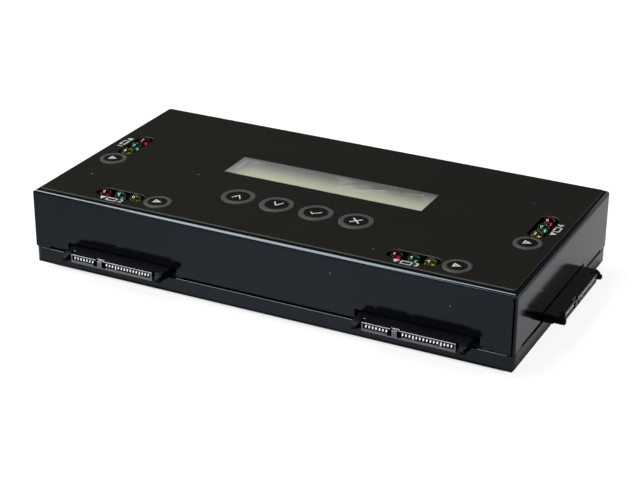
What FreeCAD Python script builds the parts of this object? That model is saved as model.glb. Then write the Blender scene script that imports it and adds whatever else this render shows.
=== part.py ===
import FreeCAD, Part
import math
import os

Vector = FreeCAD.Vector
UP = Vector(0, 0, 1)

# Driving dimensions, in millimetres.

# Folded sheet case: a cover with four walls over a shallow tray.
case_width = 192.0
case_depth = 99.0
case_height = 29.6
sheet = 1.0
seam_height = 6.8
bend_radius = 2.0
corner_radius = 1.6
tray_corner = 3.0
rim_round = 0.45
seam_gap = 0.9
corner_leg = 7.0
wall_slit = 0.55
slit_hole_diameter = 1.1
lip_height = 3.5
lip_overlap = 2.5
lip_clearance = 0.15
lip_margin = 1.5
shortest_lip = 6.0
opening_clearance = 0.5
port_side_room = 2.2

# Rubber feet under the tray.
foot_side = 10.5
foot_draft = 0.7
foot_height = 2.5
foot_inset = 18.0

# Printed sheet on the cover, and the clear lens that it holds.
overlay_thickness = 0.35
overlay_inset = 2.0
overlay_front_inset = 3.2
overlay_corner = 1.0
window_width = 82.0
window_depth = 16.4
window_from_front = 56.2
lens_lap = 3.0
lens_clearance = 0.1

# Keys: four menu keys in a row, and one start key beside each port's lamps.
menu_key_diameter = 13.0
menu_key_gap = 3.0
menu_key_from_front = 28.7
start_key_diameter = 10.5
key_clearance = 0.3
key_proud = 0.4
key_edge = 0.3
key_base_lap = 0.9
key_base_thickness = 1.0
key_base_gap = 0.3
key_stem_side = 3.8
key_travel = 0.4

# Key switches on the control board.
switch_side = 6.2
switch_height = 3.5
plunger_side = 2.8
plunger_height = 6.0
plunger_clearance = 0.05
plunger_seat = 1.9
plunger_room = 0.3

# Port lamps: round domes in a row, standing on one bar for each port's slot.
lamp_diameter = 5.0
lamp_length = 8.6
lamp_gap = 1.4
lamp_proud = 1.1
lamp_slot_clearance = 1.1
lamp_lead = 0.5
lamp_lead_spacing = 2.54
lamp_lead_clearance = 0.1
lamp_bar_lap = 0.2
lamp_colours = ("red", "green", "yellow")
middle_lamp = 1
lamp_row_start = -12.8
start_key_gap = 0.85
lamp_row_inset = 11.0

# Drive ports: two on the front wall, one on each side wall.
front_port_left = -57.5
front_port_right = 60.5
side_port_from_front = 48.5
side_lamps_from_front = 49.0

# Drive connector: keyed housing with two slots, guide ears and spring contacts.
nose_wall = 0.6
nose_reach = 7.0
nose_bottom = 0.8
housing_height = 4.1
housing_back = 7.0
slot_end_margin = 1.05
slot_floor = 2.35
slot_height = 1.3
slot_depth = 5.6
mouth_lead = 0.5
slot_divider = 2.0
key_leg_width = 1.6
key_leg_drop = 0.95
lip_notch_width = 3.0
lip_notch_depth = 1.0
ear_width = 3.0
ear_reach = 8.1
ear_bottom = 1.2
ear_gap = 0.7
ear_root = 4.0
ear_shoulder = 5.8
ear_tip_height = 1.3
ear_taper = 1.1
ear_groove_height = 0.9
ear_groove_depth = 0.7
peg_width = 1.6
peg_thickness = 0.9
peg_clearance = 0.1
peg_from_wall = 4.8
contact_pitch = 1.27
contact_width = 0.6
contact_thickness = 0.3
contact_bump = 0.8
contact_lean = 0.35
contact_toe = 0.4
contact_setback = 0.15
contact_clearance = 0.03
contact_foot = 1.6
signal_contacts = 7
power_contacts = 15
row_gap = 6.0
long_power_contacts = (4, 12)
long_notch_drop = 0.55
long_toe_drop = 0.5

# Circuit boards and the four columns of spacers that hold everything.
board_thickness = 1.6
board_inset = 2.9
board_tongue_inset = 1.3
board_tongue_room = 0.4
board_lift = 4.0
panel_room = 11.4
column_inset = 9.0
screw_diameter = 3.0
screw_clearance = 0.1
screw_engagement = 3.0
screw_head_diameter = 5.6
screw_head_height = 1.6
spacer_flats = 5.5
stud_length = 3.0

# Character display module behind the window.
display_end_margin = 8.0
display_side_margin = 4.0
display_lift = 2.5
display_gap = 0.1
bezel_end = 9.0
bezel_side = 7.0
bezel_sheet = 0.3
bezel_opening_margin = 4.0
glass_thickness = 2.2
glass_clearance = 0.2
display_post_side = 4.5
display_spigot_side = 2.4
display_spigot_clearance = 0.1
display_post_inset = 3.0
strip_pitch = 2.54
strip_pins = 16
strip_width = 2.5

# Link between the two boards.
link_pins = 10
link_pitch = 2.54
link_socket_height = 5.0
link_plug_height = 2.5
link_width = 5.0
link_pin = 0.64
link_pin_reach = 3.6
link_slot = 1.0
link_from_rear = 15.0

# Chips and power parts on the main board.
controller_side = 22.0
controller_height = 1.6
controller_corner = 0.5
controller_from_front = 50.0
bridge_side = 9.0
bridge_height = 1.0
bridge_from_port = 20.0
coil_side = 10.0
coil_height = 4.2
coil_corner = 1.7
can_diameter = 6.3
can_height = 6.0
power_parts_in_row = 3
power_part_pitch = 12.0
power_part_from_rear = 24.0

# Power inlet and power switch on the rear edge of the main board.
inlet_x = -62.0
inlet_width = 9.0
inlet_height = 11.0
inlet_depth = 14.0
inlet_axis_height = 6.5
inlet_bore = 6.4
inlet_bore_depth = 10.0
inlet_reach = 0.6
inlet_pin_diameter = 2.5
inlet_pin_setback = 1.2
inlet_edge = 0.6
power_switch_x = -36.0
power_switch_width = 15.0
power_switch_height = 10.4
power_switch_depth = 12.0
power_switch_reach = 1.4
rocker_length = 11.0
rocker_width = 7.0
rocker_pocket_depth = 6.0
rocker_clearance = 0.4
rocker_swing = 20.0
rocker_dip = 0.9
rocker_rise = 1.6
rocker_keel = 3.2
rocker_keel_width = 4.4
rocker_flank = 1.6
rocker_flank_inset = 0.55
rocker_pivot_depth = 1.0
trunnion_diameter = 2.0
trunnion_length = 0.9
trunnion_clearance = 0.04
terminal_width = 2.0
terminal_thickness = 0.5
terminal_spacing = 4.4
terminal_inset = 1.45
terminal_lift = 1.0

# Derived heights, with zero at the bottom of the feet.
underside = foot_height
tray_floor = underside + sheet
seam_z = underside + seam_height
cover_top = underside + case_height
cover_inside = cover_top - sheet
overlay_top = cover_top + overlay_thickness
main_bottom = tray_floor + board_lift
main_top = main_bottom + board_thickness
control_top = cover_inside - panel_room
control_bottom = control_top - board_thickness
display_bottom = control_top + display_lift
display_top = display_bottom + board_thickness
bezel_top = cover_inside - display_gap
lamp_bottom = overlay_top + lamp_proud - lamp_length
plunger_top = control_top + plunger_height
key_base_top = cover_inside - key_base_gap
key_base_bottom = key_base_top - key_base_thickness
key_top = overlay_top + key_proud

# The rocker stands tilted at rest, so its raised end sets how far the rear reaches.
rest_tilt = math.radians(rocker_swing / 2)
pivot_y = power_switch_reach - rocker_pivot_depth
rocker_tip = rocker_rise * math.cos(rest_tilt) + rocker_length / 2 * math.sin(rest_tilt)
rear_reach = max(power_switch_reach, inlet_reach, pivot_y + rocker_tip)

# Derived plan places: the origin is the middle of everything that reaches out.
front_y = (ear_reach - rear_reach - case_depth) / 2
rear_y = front_y + case_depth
middle_y = front_y + case_depth / 2
half_width = case_width / 2

# Derived sizes along the connector, from its two rows of contacts.
contact_span = (signal_contacts + power_contacts - 2) * contact_pitch + row_gap
slot_width = contact_span + 2 * slot_end_margin
key_end_margin = (row_gap - slot_divider) / 2
signal_slot_width = (signal_contacts - 1) * contact_pitch + slot_end_margin + key_end_margin
nose_width = slot_width + 2 * nose_wall
connector_half = nose_width / 2 + ear_gap + ear_width
port_opening_width = 2 * (connector_half + port_side_room)

# Derived sizes of the lamp rows, keys and display.
lamp_pitch = lamp_diameter + lamp_gap
lamp_slot_width = lamp_diameter + 2 * lamp_slot_clearance
lamp_slot_length = 2 * lamp_pitch + lamp_slot_width
lamp_bar_width = lamp_diameter + 2 * lamp_bar_lap
slot_end = lamp_row_start + 2 * lamp_pitch + lamp_slot_width / 2
start_key_offset = slot_end + start_key_gap + start_key_diameter / 2
menu_key_pitch = menu_key_diameter + menu_key_gap
bezel_width = window_width + 2 * bezel_end
bezel_depth = window_depth + 2 * bezel_side
display_width = bezel_width + 2 * display_end_margin
display_depth = bezel_depth + 2 * display_side_margin

# A wall's own frame has x to the right as seen from outside, y inwards and z up.
walls = {
    "front": (0, Vector(0, front_y, 0), case_width),
    "right": (90, Vector(half_width, middle_y, 0), case_depth),
    "rear": (180, Vector(0, rear_y, 0), case_width),
    "left": (-90, Vector(-half_width, middle_y, 0), case_depth),
}

# Each port has its wall, its place along that wall, the middle of its lamps and
# start key along the wall, and which way that row runs.
side_port = side_port_from_front - case_depth / 2
side_lamps = side_lamps_from_front - case_depth / 2
ports = {
    1: ("left", -side_port, -side_lamps, 1),
    2: ("front", front_port_left, front_port_left, 1),
    3: ("front", front_port_right, front_port_right, 1),
    4: ("right", side_port, side_lamps, -1),
}


# Shapes that many pieces share.

def block(x0, x1, y0, y1, z0, z1):
    return Part.makeBox(x1 - x0, y1 - y0, z1 - z0, Vector(x0, y0, z0))


def slab(x, y, width, depth, z0, z1):
    return block(x - width / 2, x + width / 2, y - depth / 2, y + depth / 2, z0, z1)


def post(x, y, z0, z1, diameter):
    return Part.makeCylinder(diameter / 2, z1 - z0, Vector(x, y, z0))


def prism(points, along):
    corners = [Vector(*point) for point in points]
    return Part.Face(Part.makePolygon(corners + corners[:1])).extrude(along)


def hexagon(x, y, z0, z1, flats):
    reach = flats / math.sqrt(3)
    turns = [math.radians(60 * side) for side in range(6)]
    points = [(x + reach * math.cos(t), y + reach * math.sin(t), z0) for t in turns]
    return prism(points, UP * (z1 - z0))


def upright_edges(shape):
    return [e for e in shape.Edges if e.BoundBox.XLength + e.BoundBox.YLength < 1e-6]


def rounded_slab(x, y, width, depth, z0, z1, radius):
    plain = slab(x, y, width, depth, z0, z1)
    return plain.makeFillet(radius, upright_edges(plain))


def stadium(length, width, z0, z1):
    straight = slab(0, 0, length - width, width, z0, z1)
    end = (length - width) / 2
    return straight.fuse([post(-end, 0, z0, z1, width), post(end, 0, z0, z1, width)]).removeSplitter()


def on_wall(shape, wall, along=0.0, height=0.0):
    turn, place, _ = walls[wall]
    placed = shape.copy()
    placed.translate(Vector(along, 0, height))
    placed.rotate(Vector(0, 0, 0), UP, turn)
    placed.translate(place)
    return placed


def wall_point(wall, along, inset):
    mark = on_wall(Part.Vertex(along, inset, 0), wall)
    return mark.X, mark.Y


# Places of the repeated pieces.

def column_points():
    across = half_width - column_inset
    return [(x, y) for x in (-across, across) for y in (front_y + column_inset, rear_y - column_inset)]


def foot_points():
    across = half_width - foot_inset
    return [(x, y) for x in (-across, across) for y in (front_y + foot_inset, rear_y - foot_inset)]


def at_lamp(shape, place):
    # Copies of a shape at one place of every port's lamp row.
    copies = []
    for wall, _, middle, way in ports.values():
        moved = shape.copy()
        moved.translate(Vector(0, lamp_row_inset, 0))
        copies.append(on_wall(moved, wall, middle + way * (lamp_row_start + place * lamp_pitch)))
    return copies


def key_points():
    names = ("up", "down", "ok", "esc")
    row_y = front_y + menu_key_from_front
    points = {}
    for place, name in enumerate(names):
        x = (place - (len(names) - 1) / 2) * menu_key_pitch
        points[name] = (x, row_y, menu_key_diameter)
    for number, (wall, _, middle, way) in ports.items():
        x, y = wall_point(wall, middle + way * start_key_offset, lamp_row_inset)
        points[f"start_{number}"] = (x, y, start_key_diameter)
    return points


def lamp_slot_cutters(z0, z1):
    return at_lamp(stadium(lamp_slot_length, lamp_slot_width, z0, z1), middle_lamp)


def key_hole_cutters(z0, z1):
    holes = key_points().values()
    return [post(x, y, z0, z1, diameter + 2 * key_clearance) for x, y, diameter in holes]


# Openings in the walls, as wall, place along it, width, and top above the main board.

def wall_openings():
    room = 2 * opening_clearance
    found = []
    for wall, along, _, _ in ports.values():
        found.append((wall, along, port_opening_width, housing_height + opening_clearance))
    found.append(("rear", -inlet_x, inlet_width + room, inlet_height + opening_clearance))
    switch_top = power_switch_height + opening_clearance
    found.append(("rear", -power_switch_x, power_switch_width + room, switch_top))
    return found


def free_spans(wall):
    length = walls[wall][2]
    start = -length / 2 + corner_leg
    spans = []
    taken = sorted((along, width) for name, along, width, _ in wall_openings() if name == wall)
    for along, width in taken:
        spans.append((start, along - width / 2 - lip_margin))
        start = along + width / 2 + lip_margin
    spans.append((start, length / 2 - corner_leg))
    return [(a, b) for a, b in spans if b - a > shortest_lip]


# Folded sheet case.

def arch(y0, y1, z_open, z_closed, radius, x0, x1):
    # A block along x whose two edges at the closed end are rounded as bends.
    plain = block(x0, x1, y0, y1, min(z_open, z_closed), max(z_open, z_closed))
    bends = [e for e in plain.Edges
             if e.BoundBox.XLength > 1e-6 and abs(e.CenterOfMass.z - z_closed) < 1e-6]
    return plain.makeFillet(radius, bends)


def pan_block(inset, z_open, z_closed, radius, corner, rim=0):
    # A closed block with bends round one end, met in mitres at the corners, and a rounded rim.
    wide = case_width - 2 * inset
    deep = case_depth - 2 * inset
    across = arch(middle_y - deep / 2, middle_y + deep / 2, z_open, z_closed, radius, -wide / 2, wide / 2)
    along = arch(-wide / 2, wide / 2, z_open, z_closed, radius, -deep / 2, deep / 2)
    along.rotate(Vector(0, 0, 0), UP, 90)
    along.translate(Vector(0, middle_y, 0))
    plan = rounded_slab(0, middle_y, wide, deep, min(z_open, z_closed), max(z_open, z_closed), corner)
    if rim:
        plan = plan.makeFillet(rim, [e for e in plan.Edges if abs(e.BoundBox.Center.z - z_open) < 1e-6])
    return plan.common(across).common(along)


def seam_relief(wall):
    # The wall's lower edge is raised and rolled between its two corner legs.
    length = walls[wall][2] - 2 * corner_leg
    top = seam_gap + sheet / 2
    low = -sheet
    corner = Vector(-length / 2, 0, top)
    edge = Vector(-length / 2, sheet / 2, seam_gap)
    middle = sheet / 2 * (1 - math.sqrt(0.5))
    arc = Part.Arc(corner, Vector(-length / 2, middle, seam_gap + middle), edge).toShape()
    rest = [edge, Vector(-length / 2, 2 * sheet, seam_gap), Vector(-length / 2, 2 * sheet, low),
            Vector(-length / 2, -sheet, low), Vector(-length / 2, -sheet, top), corner]
    sides = [Part.makeLine(a, b) for a, b in zip(rest, rest[1:])]
    face = Part.Face(Part.Wire([arc] + sides))
    return on_wall(face.extrude(Vector(length, 0, 0)), wall, 0, seam_z)


def corner_slits():
    # The end walls' edges butt against the front and rear walls, with a round relief at the bend.
    cutters = []
    top = cover_top - bend_radius
    for wall in ("front", "rear"):
        for side in (-1, 1):
            along = side * (half_width - sheet)
            slit = slab(0, sheet / 2, wall_slit, 2 * sheet, seam_z - sheet, top)
            hole = Part.makeCylinder(slit_hole_diameter / 2, 2 * sheet,
                                     Vector(0, -sheet / 2, top), Vector(0, 1, 0))
            cutters += [on_wall(slit, wall, along), on_wall(hole, wall, along)]
    return cutters


def make_cover():
    shell = pan_block(0, seam_z, cover_top, bend_radius, corner_radius, rim_round)
    room = pan_block(sheet, seam_z - sheet, cover_inside, bend_radius - sheet, corner_radius - sheet)
    cutters = [room] + [seam_relief(wall) for wall in walls] + corner_slits()
    for wall, along, width, top in wall_openings():
        opening = slab(0, sheet / 2, width, 3 * sheet, seam_z - sheet, main_top + top)
        cutters.append(on_wall(opening, wall, along))
    low = cover_inside - sheet
    high = cover_top + sheet
    lens_width = window_width + 2 * (lens_lap + lens_clearance)
    lens_depth = window_depth + 2 * (lens_lap + lens_clearance)
    cutters.append(slab(0, front_y + window_from_front, lens_width, lens_depth, low, high))
    cutters += key_hole_cutters(low, high) + lamp_slot_cutters(low, high)
    return shell.cut(cutters).removeSplitter()


def make_tray():
    shell = pan_block(0, seam_z, underside, bend_radius, tray_corner, rim_round)
    room = pan_block(sheet, seam_z + sheet, tray_floor, bend_radius - sheet, tray_corner - sheet)
    holes = [post(x, y, underside - sheet, tray_floor + sheet, screw_diameter + 2 * screw_clearance)
             for x, y in column_points()]
    # The rim is cut lower under the inlet and the switch, which stand on the board.
    low = main_top - opening_clearance
    notches = [on_wall(slab(0, sheet / 2, width, 3 * sheet, low, seam_z + sheet), wall, along)
               for wall, along, width, _ in wall_openings() if wall == "rear"]
    tray = shell.cut([room] + holes + notches)
    lips = [locating_lip(wall, *span) for wall in walls for span in free_spans(wall)]
    return tray.fuse(lips).removeSplitter()


def locating_lip(wall, start, end):
    # A lip behind the tray's wall steps inwards and rises inside the cover's wall.
    outer = sheet + lip_clearance
    step = lip_clearance
    profile = [(start, sheet, -lip_overlap), (start, outer + sheet, -lip_overlap),
               (start, outer + sheet, lip_height), (start, outer, lip_height),
               (start, outer, -step), (start, sheet, -step)]
    return on_wall(prism(profile, Vector(end - start, 0, 0)), wall, 0, seam_z)


def make_feet():
    # Moulded squares whose drafted sides narrow towards the floor.
    half = foot_side / 2
    tip = half - foot_draft
    feet = []
    for x, y in foot_points():
        foot = Part.makeWedge(-tip, 0, -tip, -half, -half, tip, foot_height, tip, half, half)
        foot.rotate(Vector(0, 0, 0), Vector(1, 0, 0), 90)
        foot.translate(Vector(x, y, 0))
        feet.append(foot)
    return feet


# Printed sheet and window.

def make_overlay():
    front = front_y + overlay_front_inset
    rear = rear_y - overlay_inset
    sheet_blank = rounded_slab(0, (front + rear) / 2, case_width - 2 * overlay_inset, rear - front,
                               cover_top, overlay_top, overlay_corner)
    low = cover_top - sheet
    high = overlay_top + sheet
    window = slab(0, front_y + window_from_front, window_width, window_depth, low, high)
    return sheet_blank.cut([window] + key_hole_cutters(low, high) + lamp_slot_cutters(low, high))


def make_lens():
    return slab(0, front_y + window_from_front, window_width + 2 * lens_lap, window_depth + 2 * lens_lap,
                cover_inside, cover_top)


# Character display module.

def display_post_points():
    across = display_width / 2 - display_post_inset
    deep = display_depth / 2 - display_post_inset
    y = front_y + window_from_front
    return [(x, y + d) for x in (-across, across) for d in (-deep, deep)]


def spigot_holes(z0, z1):
    hole = display_spigot_side + 2 * display_spigot_clearance
    return [slab(x, y, hole, hole, z0 - sheet, z1 + sheet) for x, y in display_post_points()]


def make_display_board():
    y = front_y + window_from_front
    board = slab(0, y, display_width, display_depth, display_bottom, display_top)
    return board.cut(spigot_holes(display_bottom, display_top))


def make_display_posts():
    posts = []
    for x, y in display_post_points():
        body = slab(x, y, display_post_side, display_post_side, control_top, display_bottom)
        spigot = slab(x, y, display_spigot_side, display_spigot_side, control_bottom, display_top)
        posts.append(body.fuse(spigot).removeSplitter())
    return posts


def make_bezel():
    y = front_y + window_from_front
    opening_width = window_width + 2 * bezel_opening_margin
    opening_depth = window_depth + 2 * bezel_opening_margin
    outside = rounded_slab(0, y, bezel_width, bezel_depth, display_top, bezel_top, bezel_sheet * 2)
    inside = slab(0, y, bezel_width - 2 * bezel_sheet, bezel_depth - 2 * bezel_sheet,
                  display_top - sheet, bezel_top - bezel_sheet)
    opening = slab(0, y, opening_width, opening_depth, display_top, bezel_top + sheet)
    return outside.cut([inside, opening])


def display_layer(z0, z1):
    inner = 2 * (bezel_sheet + glass_clearance)
    return slab(0, front_y + window_from_front, bezel_width - inner, bezel_depth - inner, z0, z1)


def make_glass():
    return display_layer(bezel_top - bezel_sheet - glass_thickness, bezel_top - bezel_sheet)


def make_backlight():
    return display_layer(display_top, bezel_top - bezel_sheet - glass_thickness)


def make_display_strip():
    y = front_y + window_from_front + display_depth / 2 - display_post_inset
    return slab(0, y, strip_pitch * strip_pins, strip_width, control_top, display_bottom)


# Keys, key switches and lamps.

def make_key(x, y, diameter):
    side = diameter + 2 * key_base_lap
    base = slab(x, y, side, side, key_base_bottom, key_base_top)
    cap = post(x, y, key_base_top, key_top, diameter)
    rim = [e for e in cap.Edges if abs(e.CenterOfMass.z - key_top) < 1e-6]
    cap = cap.makeChamfer(key_edge, rim)
    stem = slab(x, y, key_stem_side, key_stem_side, plunger_top, key_base_bottom)
    return base.fuse([cap, stem]).removeSplitter()


def make_plunger(x, y):
    return slab(x, y, plunger_side, plunger_side, control_top + plunger_seat, plunger_top)


def make_switch(x, y):
    body = slab(x, y, switch_side, switch_side, control_top, control_top + switch_height)
    floor = control_top + plunger_seat - key_travel - plunger_room
    well = plunger_side + 2 * plunger_clearance
    return body.cut(slab(x, y, well, well, floor, control_top + 2 * switch_height))


def lamp_leads(side, z0, z1):
    return [slab(way * lamp_lead_spacing / 2, 0, side, side, z0, z1) for way in (-1, 1)]


def make_lamp():
    radius = lamp_diameter / 2
    dome_z = lamp_bottom + lamp_length - radius
    body = post(0, 0, lamp_bottom, dome_z, lamp_diameter)
    dome = Part.makeSphere(radius, Vector(0, 0, dome_z), UP, 0, 90, 360)
    return body.fuse([dome] + lamp_leads(lamp_lead, control_top, lamp_bottom)).removeSplitter()


def make_lamp_bar():
    # One bar holds a port's three lamps off the board, with a hole for each lead.
    bar = slab(0, 0, 2 * lamp_pitch + lamp_bar_width, lamp_bar_width, control_top, lamp_bottom)
    holes = []
    for step in (-1, 0, 1):
        for hole in lamp_leads(lamp_lead + 2 * lamp_lead_clearance, control_top, lamp_bottom):
            hole.translate(Vector(step * lamp_pitch, 0, 0))
            holes.append(hole)
    return bar.cut(holes)


# Boards and the columns that carry them.

def board_blank(z0, z1):
    inner = 2 * board_inset
    return slab(0, middle_y, case_width - inner, case_depth - inner, z0, z1)


def column_holes(z0, z1):
    hole = screw_diameter + 2 * screw_clearance
    return [post(x, y, z0 - sheet, z1 + sheet, hole) for x, y in column_points()]


def peg_points():
    across = connector_half - ear_width / 2
    return [(side * across, peg_from_wall) for side in (-1, 1)]


def make_main_board():
    holes = column_holes(main_bottom, main_top)
    room = 2 * peg_clearance
    # A tongue behind each port's opening carries the connector's front edge.
    half = port_opening_width / 2 - board_tongue_room
    tongue = block(-half, half, board_tongue_inset, 2 * board_inset, main_bottom, main_top)
    tongues = [on_wall(tongue, wall, along) for wall, along, _, _ in ports.values()]
    for wall, along, _, _ in ports.values():
        for x, y in peg_points():
            hole = slab(x, y, peg_width + room, peg_thickness + room, main_bottom - sheet, main_top + sheet)
            holes.append(on_wall(hole, wall, along))
    return board_blank(main_bottom, main_top).fuse(tongues).removeSplitter().cut(holes)


def make_control_board():
    cutters = column_holes(control_bottom, control_top) + spigot_holes(control_bottom, control_top)
    for wall, along, width, top in wall_openings():
        if wall == "rear" and main_top + top > control_bottom - opening_clearance:
            depth = max(inlet_depth, power_switch_depth) + opening_clearance
            notch = block(-width / 2, width / 2, 0, depth, control_bottom - sheet, control_top + sheet)
            cutters.append(on_wall(notch, wall, along))
    return board_blank(control_bottom, control_top).cut(cutters)


def make_lower_spacers():
    bore = screw_diameter + 2 * screw_clearance
    spacers = []
    for x, y in column_points():
        body = hexagon(x, y, tray_floor, main_bottom, spacer_flats)
        spacers.append(body.cut(post(x, y, tray_floor, main_bottom, bore)))
    return spacers


def make_middle_spacers():
    bore = screw_diameter + 2 * screw_clearance
    spacers = []
    for x, y in column_points():
        body = hexagon(x, y, main_top, control_bottom, spacer_flats)
        stud = post(x, y, control_bottom, control_top + stud_length, screw_diameter)
        hole = post(x, y, main_top, main_top + screw_engagement + 2 * screw_clearance, bore)
        spacers.append(body.fuse(stud).removeSplitter().cut(hole))
    return spacers


def make_upper_spacers():
    # These are fixed under the cover from inside, so that nothing shows on top.
    bore = screw_diameter + 2 * screw_clearance
    spacers = []
    for x, y in column_points():
        body = hexagon(x, y, control_top, cover_inside, spacer_flats)
        spacers.append(body.cut(post(x, y, control_top, control_top + stud_length + screw_clearance, bore)))
    return spacers


def make_case_screws():
    screws = []
    for x, y in column_points():
        shank = post(x, y, underside, main_top + screw_engagement, screw_diameter)
        head = post(x, y, underside - screw_head_height, underside, screw_head_diameter)
        screws.append(shank.fuse(head).removeSplitter())
    return screws


# Link between the boards, and the parts on the main board.

def make_link_socket():
    y = rear_y - link_from_rear
    length = link_pins * link_pitch
    socket = slab(0, y, length, link_width, main_top, main_top + link_socket_height)
    rows = [slab(0, y + side * link_pitch / 2, length - link_pitch / 2, link_slot,
                 main_top + board_thickness, main_top + 2 * link_socket_height) for side in (-1, 1)]
    return socket.cut(rows)


def make_link_plug():
    y = rear_y - link_from_rear
    low = control_bottom - link_plug_height
    strip = slab(0, y, link_pins * link_pitch, link_width, low, control_bottom)
    tip = main_top + link_socket_height - link_pin_reach + board_thickness
    pins = [slab((place - (link_pins - 1) / 2) * link_pitch, y + side * link_pitch / 2,
                 link_pin, link_pin, tip, low)
            for place in range(link_pins) for side in (-1, 1)]
    return strip.fuse(pins).removeSplitter()


def make_controller():
    y = front_y + controller_from_front
    chip = slab(0, y, controller_side, controller_side, main_top, main_top + controller_height)
    return chip.makeChamfer(controller_corner, upright_edges(chip))


def make_bridge_chips():
    chips = []
    for wall, along, _, _ in ports.values():
        x, y = wall_point(wall, along, bridge_from_port)
        chips.append(slab(x, y, bridge_side, bridge_side, main_top, main_top + bridge_height))
    return chips


def power_part_points(row):
    y = rear_y - power_part_from_rear - row * power_part_pitch
    return [(inlet_x + place * power_part_pitch, y) for place in range(power_parts_in_row)]


def make_coils():
    coils = []
    for x, y in power_part_points(0):
        core = slab(x, y, coil_side, coil_side, main_top, main_top + coil_height)
        coils.append(core.makeChamfer(coil_corner, upright_edges(core)))
    return coils


def make_cans():
    return [post(x, y, main_top, main_top + can_height, can_diameter) for x, y in power_part_points(1)]


# Drive connector, in its wall's frame with zero height on the main board.

def contact_row():
    # Each contact has its place along the connector and whether it is a long one.
    row = [(-contact_span / 2 + place * contact_pitch, False) for place in range(signal_contacts)]
    first_power = row[-1][0] + row_gap
    for place in range(power_contacts):
        row.append((first_power + place * contact_pitch, place + 1 in long_power_contacts))
    return row


def ear_blank(side):
    # A guide ear runs forward past the nose, narrows on its inner side and slopes down to a low tip.
    inner = nose_width / 2 + ear_gap
    outer = inner + ear_width
    plan = [(inner, -ear_root, ear_bottom), (inner, -ear_reach + 2 * ear_taper, ear_bottom),
            (inner + ear_taper, -ear_reach, ear_bottom), (outer - ear_taper / 3, -ear_reach, ear_bottom),
            (outer, -ear_reach + ear_taper / 2, ear_bottom), (outer, -ear_root, ear_bottom)]
    slope = [(0, -ear_root, ear_bottom), (0, -ear_reach, ear_bottom),
             (0, -ear_reach, ear_bottom + ear_tip_height), (0, -ear_shoulder, housing_height),
             (0, -ear_root, housing_height)]
    ear = prism(plan, UP * (housing_height - ear_bottom)).common(prism(slope, Vector(2 * outer, 0, 0)))
    groove_low = (ear_bottom + housing_height - ear_groove_height) / 2
    groove = block(outer - ear_groove_depth, outer + ear_groove_depth, -ear_reach - ear_taper, -ear_root,
                   groove_low, groove_low + ear_groove_height)
    ear = ear.cut(groove)
    return ear if side > 0 else ear.mirror(Vector(0, 0, 0), Vector(1, 0, 0))


def make_housing():
    mouth = -nose_reach
    back = mouth + slot_depth
    ceiling = slot_floor + slot_height
    # Root block on the board, nose in front of the wall, ears and board pegs.
    root = block(-connector_half, connector_half, board_inset, housing_back, 0, housing_height)
    shelf = block(-connector_half, connector_half, -ear_root, board_inset, nose_bottom, housing_height)
    nose = block(-nose_width / 2, nose_width / 2, mouth, -ear_root, nose_bottom, housing_height)
    pegs = [slab(x, y, peg_width, peg_thickness, -board_thickness, 0) for x, y in peg_points()]
    body = root.fuse([shelf, nose, ear_blank(-1), ear_blank(1)] + pegs).removeSplitter()
    # Two slots, each with a short leg at its inner end that keys the plug.
    left = -slot_width / 2
    signal_end = left + signal_slot_width
    power_start = signal_end + slot_divider
    leg_floor = slot_floor - key_leg_drop
    cutters = [block(left, signal_end, mouth, back, slot_floor, ceiling),
               block(power_start, -left, mouth, back, slot_floor, ceiling),
               block(signal_end - key_leg_width, signal_end, mouth, back, leg_floor, slot_floor),
               block(power_start, power_start + key_leg_width, mouth, back, leg_floor, slot_floor)]
    # The lower lip is chamfered along each mouth, to lead the plug in.
    lead = [(0, mouth, slot_floor), (0, mouth, slot_floor - mouth_lead), (0, mouth + mouth_lead, slot_floor)]
    for start, end in ((left, signal_end), (power_start, -left)):
        chamfer = prism(lead, Vector(end - start, 0, 0))
        chamfer.translate(Vector(start, 0, 0))
        cutters.append(chamfer)
    # A notch in the upper lip over the divider, and one under each long contact.
    middle = (signal_end + power_start) / 2
    cutters.append(block(middle - lip_notch_width / 2, middle + lip_notch_width / 2,
                         mouth, mouth + lip_notch_depth, ceiling, housing_height))
    row = contact_row()
    half = contact_width / 2 + contact_clearance
    for along, is_long in row:
        if is_long:
            cutters.append(block(along - half, along + half, mouth, mouth + lip_notch_depth,
                                 slot_floor - long_notch_drop, slot_floor))
    # One channel per contact row through to the back of the housing.
    for first, last in ((row[0], row[signal_contacts - 1]), (row[signal_contacts], row[-1])):
        cutters.append(block(first[0] - half, last[0] + half, back, housing_back,
                             slot_floor, slot_floor + contact_thickness + contact_clearance))
    return body.cut(cutters)


def make_contact(along, is_long):
    # A strip soldered behind the housing, run along the slot floor and humped at its tip.
    # The toe of a long one reaches down into its notch in the lower lip.
    tip = -nose_reach + contact_setback
    low = slot_floor
    toe = low - (long_toe_drop if is_long else 0)
    high = low + contact_thickness
    back = housing_back + contact_thickness
    x = along - contact_width / 2
    side = [(x, back + contact_foot, 0), (x, housing_back, 0), (x, housing_back, low),
            (x, tip + 2 * contact_toe, low), (x, tip + contact_toe, toe), (x, tip, toe),
            (x, tip + contact_lean, high + contact_bump), (x, tip + 4 * contact_bump, high),
            (x, back, high), (x, back, contact_thickness), (x, back + contact_foot, contact_thickness)]
    return prism(side, Vector(contact_width, 0, 0))


# Power inlet and rocker switch, in the rear wall's frame with zero height on the main board.

def make_inlet():
    body = block(-inlet_width / 2, inlet_width / 2, -inlet_reach, inlet_depth - inlet_reach, 0, inlet_height)
    top = [e for e in body.Edges if e.BoundBox.YLength > 1 and e.CenterOfMass.z > inlet_height / 2]
    body = body.makeChamfer(inlet_edge, top)
    bore = Part.makeCylinder(inlet_bore / 2, inlet_bore_depth, Vector(0, -inlet_reach, inlet_axis_height),
                             Vector(0, 1, 0))
    return body.cut(bore)


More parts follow.
